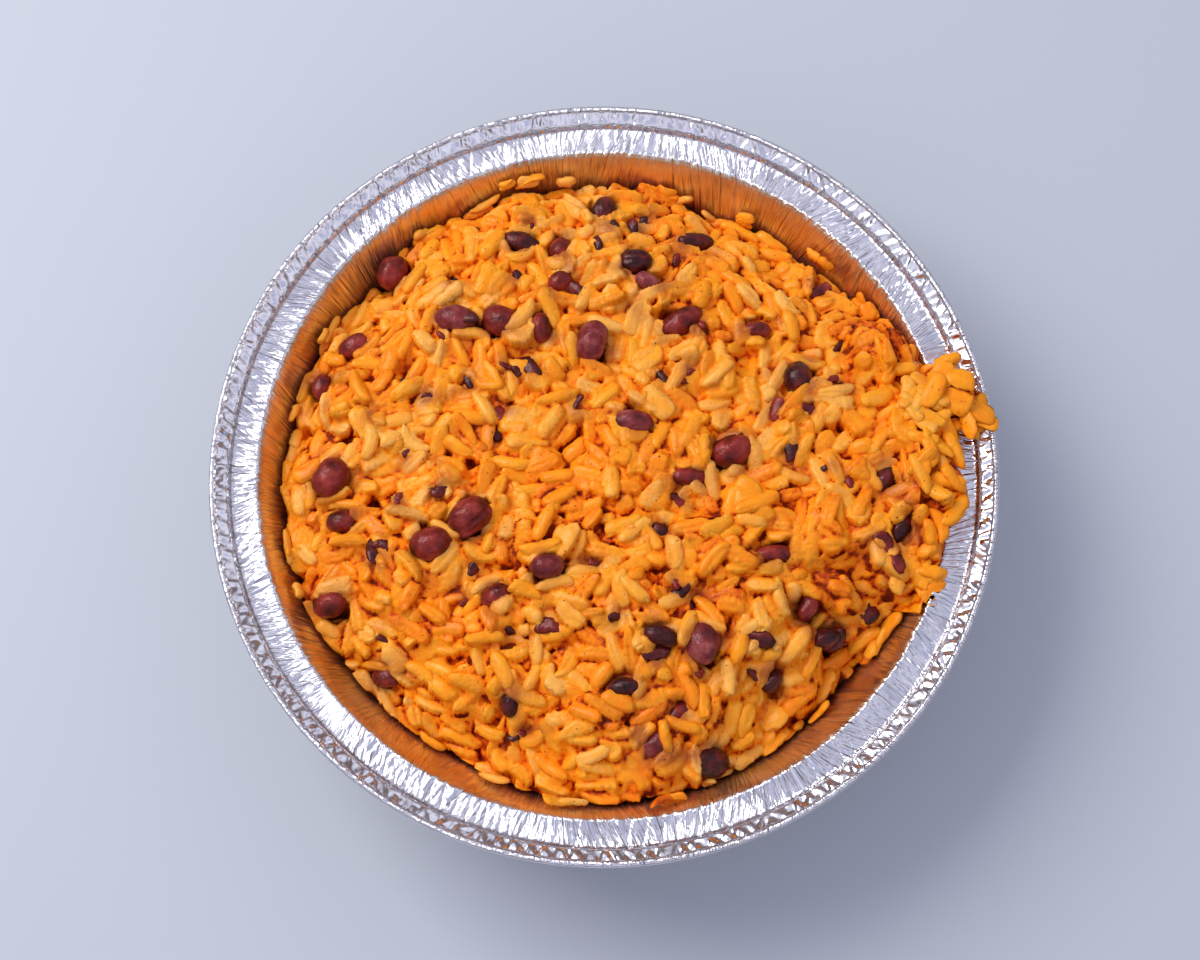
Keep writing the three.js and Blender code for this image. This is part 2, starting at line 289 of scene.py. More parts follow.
def rice_material():
    """Moist stained rice. A tone number picks the colour, from tan to dark red in the gaps, which is painted
    shade; rise, 0 low on a grain and 1 on its back, makes its low sides redder as painted shade, and duller.
    Streaks run along each grain in its own coordinates, rice beside bean skins is stained, and specks of
    pepper darken it. Where the number deep says that rice is thick, light spreads a little inside it."""
    material, tree, shader = new_material(
        "rice_orange", Specular_IOR_Level=0.27, Specular_Tint=(1.0, 0.64, 0.28, 1.0), Coat_Roughness=0.14,
        Subsurface_Radius=(0.6, 0.4, 0.2), Subsurface_Scale=0.0009)
    rise = add_point_value(tree, "rise")
    # Painted shade: the low sides of each grain get up to 0.34 more tone, so they turn redder and darker.
    tone = add_sum(tree, add_point_value(tree, "tone"), add_range(tree, rise, 0.0, 1.0, 0.34, 0.0), clamp=True)
    streak = add_noise(tree, 0.8, 3.0, 0.5, add_point_value(tree, "grain_place", "Vector"))
    varied = add_sum(tree, tone, add_range(tree, streak, 0.3, 0.7, -0.12, 0.12), clamp=True)
    shades = [(0.0, TAN), (0.30, GOLDEN), (0.66, ORANGE), (0.86, RUST), (1.0, SHADE_RED)]
    colour = add_ramp(tree, varied, shades)
    oil = add_range(tree, add_noise(tree, 260, 3), 0.45, 0.75)
    colour = add_blend(tree, oil, colour, OIL_TINT, "MULTIPLY")
    colour = add_blend(tree, add_point_value(tree, "stain"), colour, STAINED)
    speck = add_range(tree, add_noise(tree, 1300, 1), 0.735, 0.77)
    colour = add_blend(tree, speck, colour, PEPPER)
    tree.links.new(colour, shader.inputs["Base Color"])
    tree.links.new(add_range(tree, rise, 0.25, 0.85, 0.75, 0.32), shader.inputs["Roughness"])
    tree.links.new(add_range(tree, rise, 0.45, 0.95, 0.0, 0.20), shader.inputs["Coat Weight"])
    deep = add_point_value(tree, "deep")
    tree.links.new(add_range(tree, deep, 0, 1, 0, 0.45), shader.inputs["Subsurface Weight"])
    add_bump(tree, shader, add_sum(tree, streak, add_noise(tree, 850, 3)), 0.00032, 0.8)
    return material


# %% Bean skins
def bean_material(name, dark, main, light, rough):
    """Wet bean skin: three shades of one colour in soft clouds, with a gloss."""
    material, tree, shader = new_material(
        name, Roughness=rough, Specular_IOR_Level=0.38, Specular_Tint=(1.0, 0.70, 0.70, 1.0))
    cloud = add_noise(tree, 260, 4)
    colour = add_ramp(tree, cloud, [(0.32, dark), (0.5, main), (0.68, light)])
    tree.links.new(colour, shader.inputs["Base Color"])
    add_bump(tree, shader, add_noise(tree, 520, 3), 0.0006, 0.7)
    return material


# %% Make the materials
foil = foil_material()
rice = rice_material()
skins = {
    "maroon": bean_material("bean_maroon", (0.045, 0.004, 0.003), (0.17, 0.013, 0.009), (0.31, 0.034, 0.024), 0.27),
    "purple": bean_material("bean_purple", (0.07, 0.007, 0.008), (0.19, 0.022, 0.024), (0.34, 0.085, 0.075), 0.29),
    "dark": bean_material("bean_dark", (0.008, 0.002, 0.003), (0.055, 0.006, 0.006), (0.17, 0.015, 0.013), 0.26),
}
print("materials:", len(bpy.data.materials))

# %% [markdown]
# ## The foil pan
# A machine presses a flat disc of foil into the pan, and the spare foil gathers into fine upright pleats
# round the wall that run on across the flat shelf. The lip outside it is crinkled into small
# three-cornered facets and ends in a rolled edge. The pan could be turned from a profile with a spin,
# but then the folds would need carving. Here the profile is carried round as a grid, and each ring of
# points is pushed in or out by the folds, which are functions of the distance round the rim.

# %% Pan profile
WALL_FOOT = (BASE_RADIUS + 1.9, 2.4)
WALL_TOP = (RIM_RADIUS - 0.6, RIM_Z - 1.0)
ROLL_RADIUS = 0.75
SHELF_DISH = 0.15


def wall_radius(z):
    """Radius of the inside of the tapered wall at a height."""
    return WALL_FOOT[0] + (WALL_TOP[0] - WALL_FOOT[0]) * (z - WALL_FOOT[1]) / (WALL_TOP[1] - WALL_FOOT[1])


def spaced(start, end, count):
    """Points from start up to but not including end."""
    share = np.linspace(0, 1, count, endpoint=False)[:, None]
    return np.array(start) * (1 - share) + np.array(end) * share


def pan_profile():
    """Closed outline (radius, height, part) from the inside of the base, over the lip and back under.
    part is 1 on the inner wall, 2 on the shelf, 3 on the lip, 4 on the roll and 5 on the underside."""
    roll_at = np.array([OUTER_RADIUS - 0.2 - ROLL_RADIUS, LIP_TOP - ROLL_RADIUS - 0.25])
    roll = np.radians(np.linspace(125, -95, 9))
    dish = np.linspace(0, 1, 11)
    shelf = np.column_stack([
        RIM_RADIUS + 0.55 + dish * (SHELF_RADIUS - RIM_RADIUS - 0.9),
        RIM_Z + 0.12 - SHELF_DISH * np.sin(math.pi * dish) ** 0.8,
    ])
    runs = [
        (spaced((BASE_RADIUS - 1.6, FOIL), (BASE_RADIUS + 0.4, FOIL + 0.4), 2), 0),
        (spaced((BASE_RADIUS + 0.9, FOIL + 0.9), WALL_FOOT, 2), 0),
        (spaced(WALL_FOOT, WALL_TOP, 10), 1),
        (spaced((RIM_RADIUS - 0.5, RIM_Z - 0.7), (RIM_RADIUS + 0.4, RIM_Z + 0.2), 3), 1),
        (shelf, 2),
        (spaced((SHELF_RADIUS - 0.15, RIM_Z + 0.35), (SHELF_RADIUS + 0.55, RIM_Z + 1.9), 2), 2),
        (spaced((SHELF_RADIUS + 0.55, RIM_Z + 1.9), roll_at + (-0.6, 0.4), 9), 3),
        (roll_at + ROLL_RADIUS * np.column_stack([np.cos(roll), np.sin(roll)]), 4),
        (spaced(roll_at + (-0.6, -0.7), (SHELF_RADIUS + 0.5, RIM_Z + 0.0), 5), 5),
        (spaced((SHELF_RADIUS + 0.1, RIM_Z - 0.5), (RIM_RADIUS + 0.8, RIM_Z - 0.6), 4), 5),
        (spaced((RIM_RADIUS, RIM_Z - 1.0), (WALL_FOOT[0] + FOIL, WALL_FOOT[1]), 8), 5),
        (np.array([[WALL_FOOT[0] + FOIL, WALL_FOOT[1]], [BASE_RADIUS + 1.2, 0.6], [BASE_RADIUS + 0.3, 0.0]]), 0),
    ]
    return np.concatenate([np.column_stack([points, np.full(len(points), part)]) for points, part in runs])


# %% Folds in the foil
def pleats(around, radius, low, high, seed):
    """A count that rises by one at each pleat, with pleats a random distance apart round the rim, and a
    random depth for each pleat: most are shallow and a few are deep."""
    dice = np.random.default_rng(seed)
    edges = np.cumsum(dice.uniform(low, high, int(TURN * radius / low) + 8))
    last = np.searchsorted(edges, TURN * radius)
    edges = np.concatenate([[0], edges[:last]]) * (TURN * radius / edges[last - 1])
    count = np.interp(around * radius, edges, np.arange(last + 1))
    depth = dice.beta(1.6, 2.6, last)
    return count, np.concatenate([depth, depth[:1]])


def pleat_height(count, depth, slant, flat=0.0):
    """Height of slanted pleats: each zigzag rise is scaled by the depth of its own pleat. With flat above
    0 that share of each rise is cut level, which leaves narrow creases between flat strips."""
    moved = (count + slant) % (len(depth) - 1)
    rise = np.minimum(fold(moved) / (1 - flat), 1)
    return np.interp(moved, np.arange(len(depth)), depth) * (rise - 0.5)


def pan_surface(columns):
    """Each profile point turned round the middle, with upright pleats on the wall, slanting pleats on the
    shelf and crossed sharp folds on the lip."""
    profile = pan_profile()
    around = np.linspace(0, TURN, columns, endpoint=False)[None, :]
    r, z, part = (profile[:, k][:, None] for k in range(3))
    on_shelf = np.clip((r - RIM_RADIUS) / (SHELF_RADIUS - RIM_RADIUS), 0, 1)
    on_lip = np.clip((r - SHELF_RADIUS) / (OUTER_RADIUS - SHELF_RADIUS), 0, 1)
    lazy = 0.5 * np.sin(7 * around + 1) + 0.4 * np.sin(13 * around + 2)
    coarse = pleat_height(*pleats(around, 82, 2.0, 4.2, 3), on_shelf * lazy, 0.72)
    finer = pleat_height(*pleats(around, 82, 1.3, 2.6, 4), -on_shelf * lazy, 0.62)
    shelf_fold = 0.90 * coarse + 0.70 * finer
    near_edges = 0.75 + 0.25 * np.abs(2 * on_shelf - 1)
    first = pleat_height(*pleats(around, 88, 1.9, 3.8, 11), 0.75 * on_lip)
    second = pleat_height(*pleats(around, 88, 2.3, 4.4, 12), -0.85 * on_lip)
    third = pleat_height(*pleats(around, 88, 1.2, 2.4, 13), 0.4 * on_lip)
    lip_fold = 1.05 * first + 1.05 * second + 0.65 * third
    bow = np.sin(math.pi * np.clip(on_lip, 0.08, 0.92))
    up_wall = np.clip(1 - (RIM_Z - z) / 40, 0.25, 1)
    radial = np.where(part == 1, 0.60 * up_wall * shelf_fold, 0.0) + np.where(part == 4, 0.06 * lip_fold, 0.0)
    lift = np.where(part == 2, near_edges * shelf_fold, 0.0)
    lift = lift + np.where(part == 3, bow * lip_fold, 0.0) + np.where(part == 4, 0.22 * lip_fold, 0.0)
    sway = 0.30 * np.sin(3 * around + 1.0) + 0.20 * np.sin(5 * around + 2.2)
    lift = lift + np.where((part >= 2) & (r > RIM_RADIUS + 0.2), sway * on_shelf, 0.0)
    x = (r + radial) * np.cos(around)
    y = (r + radial) * np.sin(around)
    twist = around + 0.006 * (r - SHELF_RADIUS) * np.sin(9 * around + 0.5)
    stretch = np.where(part == 3, 0.55, 0.10)
    place = np.stack([84 * np.cos(twist), 84 * np.sin(twist), stretch * r + 0 * around], axis=-1)
    return np.stack([x, y, z + lift], axis=-1), part, place


# %% Make the pan
PAN_COLUMNS = 1440
pan_grid, part, place = pan_surface(PAN_COLUMNS)
poles = [[0, 0, FOIL], [0, 0, 0]]
pan_points = np.concatenate([pan_grid.reshape(-1, 3), poles])
oily = np.concatenate([np.repeat((part[:, 0] == 1).astype(float), PAN_COLUMNS), [0, 0]])
on_lip = np.concatenate([np.repeat((part[:, 0] == 3).astype(float), PAN_COLUMNS), [0, 0]])
pleat_place = np.concatenate([place.reshape(-1, 3), np.zeros((2, 3))])
pan = make_piece("pan_foil_pleated", pan_points, tube_faces(len(pan_grid), PAN_COLUMNS), foil,
                 {"oily": oily, "on_lip": on_lip, "pleat_place": pleat_place})
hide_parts("pan_foil")
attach(pan, "root")

# %% [markdown]
# ## Where the rice lies
# The CAD heap is solid out to the outline of the rice. Its points could be used as they are, but they are
# far apart. Rays dropped on it give an even height map instead, and the dents under the beans are
# smoothed away. Grains are then laid on that map up to the outline.

# %% Height maps
STEP, COARSE = 0.5, 1.0
HALF = 92.0
FAR = 99.0
ticks = np.arange(-HALF, HALF + STEP / 2, STEP)
grid_x, grid_y = np.meshgrid(ticks, ticks)
grid_r = np.hypot(grid_x, grid_y)
CELLS = len(ticks)


def cell(values):
    """Grid index of a coordinate in mm."""
    return np.clip(np.rint((np.asarray(values) + HALF) / STEP).astype(int), 0, CELLS - 1)


def sample(values, x, y):
    """The nearest cell of a map at points in mm."""
    return values[cell(y), cell(x)]


def read(values, x, y, step=STEP):
    """A map read between its cells at points in mm; step is how far apart its cells are."""
    fx = np.clip((x + HALF) / step, 0, values.shape[1] - 1.001)
    fy = np.clip((y + HALF) / step, 0, values.shape[0] - 1.001)
    ix, iy = fx.astype(int), fy.astype(int)
    tx, ty = fx - ix, fy - iy
    low = values[iy, ix] * (1 - tx) + values[iy, ix + 1] * tx
    high = values[iy + 1, ix] * (1 - tx) + values[iy + 1, ix + 1] * tx
    return low * (1 - ty) + high * ty


def node_tree_of(name):
    """A search tree of a CAD node's triangles."""
    mesh = frame["nodes"][name].data
    corners = [tuple(v.co) for v in mesh.vertices]
    return BVHTree.FromPolygons(corners, [tuple(p.vertices) for p in mesh.polygons])


def blur(values, sigma):
    """Gaussian smoothing of a map along both directions; sigma is in cells."""
    reach = int(3 * sigma)
    kernel = np.exp(-0.5 * (np.arange(-reach, reach + 1) / sigma) ** 2)
    kernel /= kernel.sum()
    rows = np.apply_along_axis(lambda line: np.convolve(line, kernel, "same"), 0, values)
    return np.apply_along_axis(lambda line: np.convolve(line, kernel, "same"), 1, rows)


def blur_known(values, known, sigma):
    """A map smoothed over its known cells only, and how much of each average is known."""
    weight = blur(known.astype(float), sigma)
    return blur(np.where(known, values, 0.0), sigma) / np.maximum(weight, 1e-6), weight


def bean_axes(name):
    """Middle, three half lengths and three directions (longest first) of a CAD bean, in mm."""
    mesh = frame["nodes"][name].data
    corners = np.unique(np.array([v.co for v in mesh.vertices]).round(7), axis=0) / MM
    middle = (corners.max(axis=0) + corners.min(axis=0)) / 2
    _, _, ways = np.linalg.svd(corners - corners.mean(axis=0), full_matrices=False)
    reach = np.array([np.ptp((corners - middle) @ way) / 2 for way in ways])
    order = np.argsort(-reach)
    return middle, reach[order], ways[order]


beans = {name: bean_axes(name) for name in frame["nodes"] if name.startswith("bean_")}
heap_tree = node_tree_of("rice_heap")
coarse = np.arange(-HALF, HALF + 0.1, COARSE)
drops = np.full((len(coarse), len(coarse)), np.nan)
for row, y in enumerate(coarse):
    for column, x in enumerate(coarse):
        hit = heap_tree.ray_cast(Vector((x * MM, y * MM, 0.2)), Vector((0, 0, -1)))[0]
        if hit is not None:
            drops[row, column] = hit.z / MM
inside = ~np.isnan(drops)
cx, cy = np.meshgrid(coarse, coarse)
trusted = inside.copy()
for middle, reach, _ in beans.values():
    trusted &= np.hypot(cx - middle[0], cy - middle[1]) > reach[0] + 0.8
smooth, weight = blur_known(drops, trusted, 1.6)
wide, _ = blur_known(drops, trusted, 6)
smooth = np.where(weight > 0.02, smooth, wide)
outline = read(smooth, grid_x, grid_y, COARSE)
covered = read(inside.astype(float), grid_x, grid_y, COARSE) > 0.5


# %% [markdown]
# Cooked rice sticks in clumps. Each clump is a patch of the heap nearest to one scattered middle; it
# stands a little high or low, leans a little, and its grains lie roughly one way. Between some clumps
# the heap opens into a narrow valley.

# %% Clumps
CLUMP_WIDE = 12.5
VALLEY_DEEP = 3.6
SPILL_THINNER = 2.4


def scatter(spacing, seed):
    """Middles on a staggered grid, each moved a random part of the spacing."""
    dice = np.random.default_rng(seed)
    line = np.arange(-HALF, HALF, spacing)
    mx, my = np.meshgrid(line, line)
    mx = mx + spacing / 2 * (np.arange(len(line)) % 2)[:, None]
    spots = np.stack([mx.ravel(), my.ravel()], axis=1)
    return spots + dice.uniform(-0.42, 0.42, spots.shape) * spacing


def nearest_two(spots, x, y):
    """Which middle is nearest each point, and how much nearer it is than the next."""
    first = np.full(x.shape, 1e9)
    second = first.copy()
    owner = np.zeros(x.shape, int)
    for number, (sx, sy) in enumerate(spots):
        far = np.hypot(x - sx, y - sy)
        closer = far < first
        second = np.where(closer, first, np.minimum(second, far))
        owner = np.where(closer, number, owner)
        first = np.where(closer, far, first)
    return owner, second - first


middles = scatter(CLUMP_WIDE, 23)
bend_x = grid_x + 2.2 * wander(grid_x, grid_y, 9, 24)
bend_y = grid_y + 2.2 * wander(grid_x, grid_y, 9, 25)
clump, inset = nearest_two(middles, bend_x, bend_y)
dice = np.random.default_rng(26)
clump_height = dice.normal(0, 0.75, len(middles))[clump]
clump_yaw = dice.uniform(0, TURN / 2, len(middles))[clump]
clump_tone = dice.normal(0, 0.09, len(middles))[clump]
lean = dice.normal(0, 0.09, (2, len(middles)))
leaning = lean[0][clump] * (bend_x - middles[clump, 0]) + lean[1][clump] * (bend_y - middles[clump, 1])
open_share = np.clip(0.55 + 0.9 * wander(grid_x, grid_y, 22, 27), 0.1, 1)
valley = VALLEY_DEEP * open_share * np.exp(-((inset / 2.3) ** 2))
relief = clump_height + np.clip(leaning, -1.2, 1.2) - valley + 0.35 * wander(grid_x, grid_y, 6, 28)
spill = np.clip((grid_x - 74.0) / 3.0, 0, 1) * np.clip((grid_y - 1.0) / 3.0, 0, 1)
target = outline + blur(relief, 1.5) - SPILL_THINNER * spill
print(f"heap covers {covered.sum() * STEP**2 / 100:.0f} cm2, top at {np.nanmax(outline[covered]):.1f} mm")

# %% [markdown]
# ## The beans
# Each bean is an egg shape a little longer than wide, with a shallow dent where it grew on its pod. The
# CAD bean gives its middle, its three half lengths and the way it lies. Some cooked beans have split, so
# a groove runs round a few of them.

# %% Bean surface
BEAN_ROWS, BEAN_COLUMNS = 22, 28


def bean_surface(middle, reach, ways, dice):
    """Ball angles give the two parameters; the ball is stretched to the half lengths, dented on one
    long side, wrinkled a little and, on a split bean, grooved round its waist."""
    up = np.linspace(-math.pi / 2, math.pi / 2, BEAN_ROWS + 2)[1:-1, None]
    round_way = np.linspace(0, TURN, BEAN_COLUMNS, endpoint=False)[None, :]
    a = np.concatenate([(np.cos(up) * np.cos(round_way)).ravel(), [0, 0]])
    b = np.concatenate([(np.cos(up) * np.sin(round_way)).ravel(), [0, 0]])
    c = np.concatenate([(np.sin(up) + 0 * round_way).ravel(), [-1, 1]])
    swell = 1.03 + 0.022 * wander(5 * a + 3 * c, 5 * b, 4.0, dice.integers(1 << 30))
    swell -= 0.15 * np.exp(-((a / 0.42) ** 2)) * np.exp(-(((b - 1) / 0.42) ** 2))
    swell += 0.05 * np.exp(-((a / 0.14) ** 2)) * np.exp(-(((b - 0.9) / 0.2) ** 2))
    if dice.random() < 0.3:
        tilt = dice.uniform(-0.5, 0.5)
        swell -= 0.13 * np.exp(-(((c * 0.5 + b * tilt + a * 0.1) / 0.07) ** 2))
    local = np.stack([a * reach[0], b * reach[1], c * reach[2]], axis=1) * swell[:, None]
    handed = ways.copy()
    if np.linalg.det(handed) < 0:
        handed[2] *= -1
    return middle + local @ handed


# %% Make the beans
slot_of = {part["node"]: part["material_slot"] for part in frame["record"]["subparts"]}
bean_points = {}
for kind, skin in skins.items():
    names = [name for name in sorted(beans) if slot_of[name] == f"bean_{kind}"]
    dice = np.random.default_rng(len(names))
    shapes = [bean_surface(*beans[name], dice) for name in names]
    bean_points[kind] = np.concatenate(shapes)
    piece = make_piece(f"beans_{kind}", bean_points[kind], many_tubes(len(names), BEAN_ROWS, BEAN_COLUMNS), skin)
    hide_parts(*names)
    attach(piece, "root")

# %% [markdown]
# ## Laying the grains
# Poured rice settles one grain on another. That could be left to a physics bake, but it is slow and never
# quite the same twice. Instead each grain is lowered onto a map of the heights so far: what
# lies under its two halves gives its slope, it presses a little into what holds it up because moist
# grains stick together, and then its own back is drawn into the map for the next grain.

# %% Grain sizes and the starting heights
GRAIN_LONG, GRAIN_WIDE, GRAIN_THICK = 8.8, 3.4, 2.2
SINK = 0.42  # share of its thickness that a grain sinks in
PRESS = 0.78  # share of what lies under a grain that it settles below
STAND_PROUD = 2.3  # how far a tip may stand over the outline, in mm
BED_DEPTH = 5.2  # how far under the outline the first grains lie, in mm
WALL_BAND = 7  # width of the band by the wall where some grains lie along it, in mm


def pan_top(r):
    """Height of the foil's upper side at a radius: base, wall, shelf and lip."""
    return np.interp(r, [0, BASE_RADIUS, WALL_FOOT[0], RIM_RADIUS, SHELF_RADIUS, OUTER_RADIUS - 1, OUTER_RADIUS],
                     [FOIL, FOIL + 0.5, WALL_FOOT[1], RIM_Z, RIM_Z, LIP_TOP, LIP_TOP])


bed = np.minimum(target - BED_DEPTH, RIM_Z - 2.0)
rice_tops = np.where(covered & (grid_r < RIM_RADIUS - 1), np.maximum(bed, pan_top(grid_r)), pan_top(grid_r))
keep_clear = np.zeros_like(covered)
near_bean = np.full(covered.shape, FAR)
for middle, reach, ways in beans.values():
    near = np.hypot(grid_x - middle[0], grid_y - middle[1])
    proud = middle[2] - sample(outline, middle[0], middle[1])
    keep_clear |= near < (0.66 if proud > 0.3 else 0.40) * reach[1]
    near_bean = np.minimum(near_bean, near - reach[1])
heights = rice_tops.copy()
for points in bean_points.values():
    np.maximum.at(heights, (cell(points[:, 1]), cell(points[:, 0])), points[:, 2])


# %% Lay one grain
def lay_grain(x, y, yaw, size, dice):
    """Rest a grain on the map and draw its back there. Returns its place and turn, or None where it
    would cover a bean, stand too high or cross the foil."""
    long, wide, thick = size
    way = np.array([math.cos(yaw), math.sin(yaw)])
    side = np.array([-way[1], way[0]])
    s, t = np.meshgrid(np.linspace(-0.46, 0.46, 9) * long, np.linspace(-0.36, 0.36, 3) * wide, indexing="ij")
    px, py = x + s * way[0] + t * side[0], y + s * way[1] + t * side[1]
    rows, cols = cell(py), cell(px)
    if keep_clear[rows, cols].any():
        return None
    belly = 0.5 * thick * np.sqrt(np.clip(1 - (2 * s / long) ** 2, 0, 1))
    belly = belly * np.sqrt(np.clip(1 - (2 * t / wide) ** 2, 0, 1))
    hold = heights[rows, cols] + belly
    front, rear = hold[5:].mean(), hold[:4].mean()
    slope = float(np.clip((front - rear) / (0.5 * long), -0.7, 0.7)) + dice.normal(0, 0.14)
    z = float(np.quantile(hold - slope * s, PRESS)) - SINK * thick * dice.uniform(0.4, 1.4)
    if z + abs(slope) * 0.45 * long > sample(target, x, y) + STAND_PROUD:
        return None
    ends = np.array([[x + e * way[0], y + e * way[1], z + e * slope] for e in (-0.5 * long, 0.5 * long)])
    end_r = np.hypot(ends[:, 0], ends[:, 1])
    low = ends[:, 2] < RIM_Z + 0.6
    at_wall = low & (end_r + 1.0 > wall_radius(np.minimum(ends[:, 2], RIM_Z - 1)))
    if at_wall.any() or end_r.max() > OUTER_RADIUS - 0.8:
        return None
    s, t = np.meshgrid(np.linspace(-0.5, 0.5, 23) * long, np.linspace(-0.5, 0.5, 9) * wide, indexing="ij")
    belly = 0.5 * thick * np.clip(1 - (2 * s / long) ** 4, 0, 1) ** 0.5
    belly = belly * np.clip(1 - (2 * t / wide) ** 2, 0, 1) ** 0.5
    spot = (cell(y + s * way[1] + t * side[1]), cell(x + s * way[0] + t * side[0]))
    back = z + slope * s + belly
    np.maximum.at(heights, spot, back)
    np.maximum.at(rice_tops, spot, back)
    return (x, y, z, yaw, math.atan(slope))


# %% Lay them all
BROKEN_SHARE = 0.22
STRAY_SHARE = 0.28
SQUASHED_SHARE = 0.11
SPILLED_SQUASHED_SHARE = 0.15
PICKS = 14


def lay_all(most, over, seed):
    """Lay grains where the heap is furthest below its outline plus the amount over, until it is full."""
    dice = np.random.default_rng(seed)
    spots = np.argwhere(covered)
    laid, sizes = [], []
    tries = 0
    while len(laid) < most and tries < 5 * most:
        tries += 1
        pick = spots[dice.integers(len(spots), size=PICKS)]
        need = target[pick[:, 0], pick[:, 1]] + over - heights[pick[:, 0], pick[:, 1]]
        best = need.argmax()
        if need[best] < 0.1:
            continue
        row, col = pick[best]
        broken = dice.random() < BROKEN_SHARE
        size = (GRAIN_LONG * dice.normal(1, 0.10) * (dice.uniform(0.42, 0.8) if broken else 1),
                GRAIN_WIDE * dice.normal(1, 0.12), GRAIN_THICK * dice.normal(1, 0.10))
        spilled = ticks[col] > 0 and math.hypot(ticks[row], ticks[col]) > RIM_RADIUS - 5
        if dice.random() < (SPILLED_SQUASHED_SHARE if spilled else SQUASHED_SHARE):
            size = (0.9 * size[0], 1.55 * size[1], 0.7 * size[2])
        yaw = clump_yaw[row, col] + dice.normal(0, 0.45)
        if broken or dice.random() < STRAY_SHARE:
            yaw = dice.uniform(0, TURN)
        x, y = ticks[col], ticks[row]
        wall = wall_radius(min(sample(target, x, y), RIM_Z))
        if math.hypot(x, y) > wall - WALL_BAND and dice.random() < 0.3:
            yaw = math.atan2(y, x) + TURN / 4 + dice.normal(0, 0.35)
        if dice.random() < 0.5:
            yaw += TURN / 2
        place = lay_grain(x, y, yaw, size, dice)
        if place is not None:
            laid.append(place)
            sizes.append(size)
    return np.array(laid), np.array(sizes)


under_places, under_sizes = lay_all(2600, -1.7, 41)
print(f"{len(under_places)} grains laid first")

# %% [markdown]
# ## Bean scraps
# Some beans have gone to pieces: bits of dark skin and red flesh lie between the grains. The larger ones
# lie where they are on the object and small ones are scattered. They are laid before the top layer of
# rice, so that some grains lie over them.

# %% Place the scraps
SCRAPS = [(54.6, 42.7), (41.0, 10.9), (43.3, 1.1), (11.7, -15.4), (15.1, -30.2), (-15.1, -35.3), (13.1, -56.5),
          (50.3, -41.4), (-4.1, 44.4), (11.0, 61.1), (64.6, -26.5), (-31.6, -10.9), (-29.8, 38.7), (8.5, -43.1),
          (-53.3, -14.7), (-37.7, -2.4), (-22.8, 15.1), (-15.3, 25.8), (32.3, -41.9), (58.2, -35.9), (62.0, -22.0)]
SMALL_SCRAPS = 46


def lay_scraps():
    """Places and sizes of the scraps, each resting on the rice and drawn in the height map."""
    dice = np.random.default_rng(61)
    spots = np.argwhere(covered & (grid_r < 66) & (near_bean > 1.5))
    extra = spots[dice.integers(len(spots), size=SMALL_SCRAPS)]
    at = np.array(SCRAPS + list(zip(ticks[extra[:, 1]], ticks[extra[:, 0]])))
    large = np.arange(len(at)) < len(SCRAPS)
    sizes = np.where(large[:, None], dice.uniform((4.6, 2.8, 1.2), (7.0, 4.2, 1.9), (len(at), 3)),
                     dice.uniform((2.2, 1.4, 0.9), (4.6, 2.6, 1.5), (len(at), 3)))
    yaw = dice.uniform(0, TURN, len(at))
    z = np.maximum(sample(blur(heights, 2.0), at[:, 0], at[:, 1]), sample(target, at[:, 0], at[:, 1]) - 1.4) - 0.1
    for (x, y), height, size in zip(at, z, sizes):
        near = np.hypot(grid_x - x, grid_y - y)
        keep_clear[near < 0.26 * size[0]] = True
        raised = near < 0.4 * size[1]
        heights[raised] = np.maximum(heights[raised], height + 0.3 * size[2])
        near_bean[:] = np.minimum(near_bean, near - 0.5 * size[1] + 0.8)
    return np.column_stack([at, z, yaw, dice.normal(0, 0.2, len(at))]), sizes


scrap_places, scrap_sizes = lay_scraps()

# %% Lay the top layer
top_places, top_sizes = lay_all(5200, -0.2, 42)
places, sizes = np.concatenate([under_places, top_places]), np.concatenate([under_sizes, top_sizes])
print(f"{len(places)} grains laid, {(target - heights)[covered].mean():.2f} mm short on average")

# %% [markdown]
# ## The shape of a grain
# A cooked grain is a long rod, a little flat, a little bent, with one end slimmer than the other and
# sides pressed flat by its neighbours. Some ends are blunt where the grain broke and some run to a
# point. All the grains of one piece are worked out together, as one array of rings, and joined in one
# mesh with only a few dozen faces a grain.

# %% Grain surface
GRAIN_RINGS, GRAIN_SIDES = 9, 10


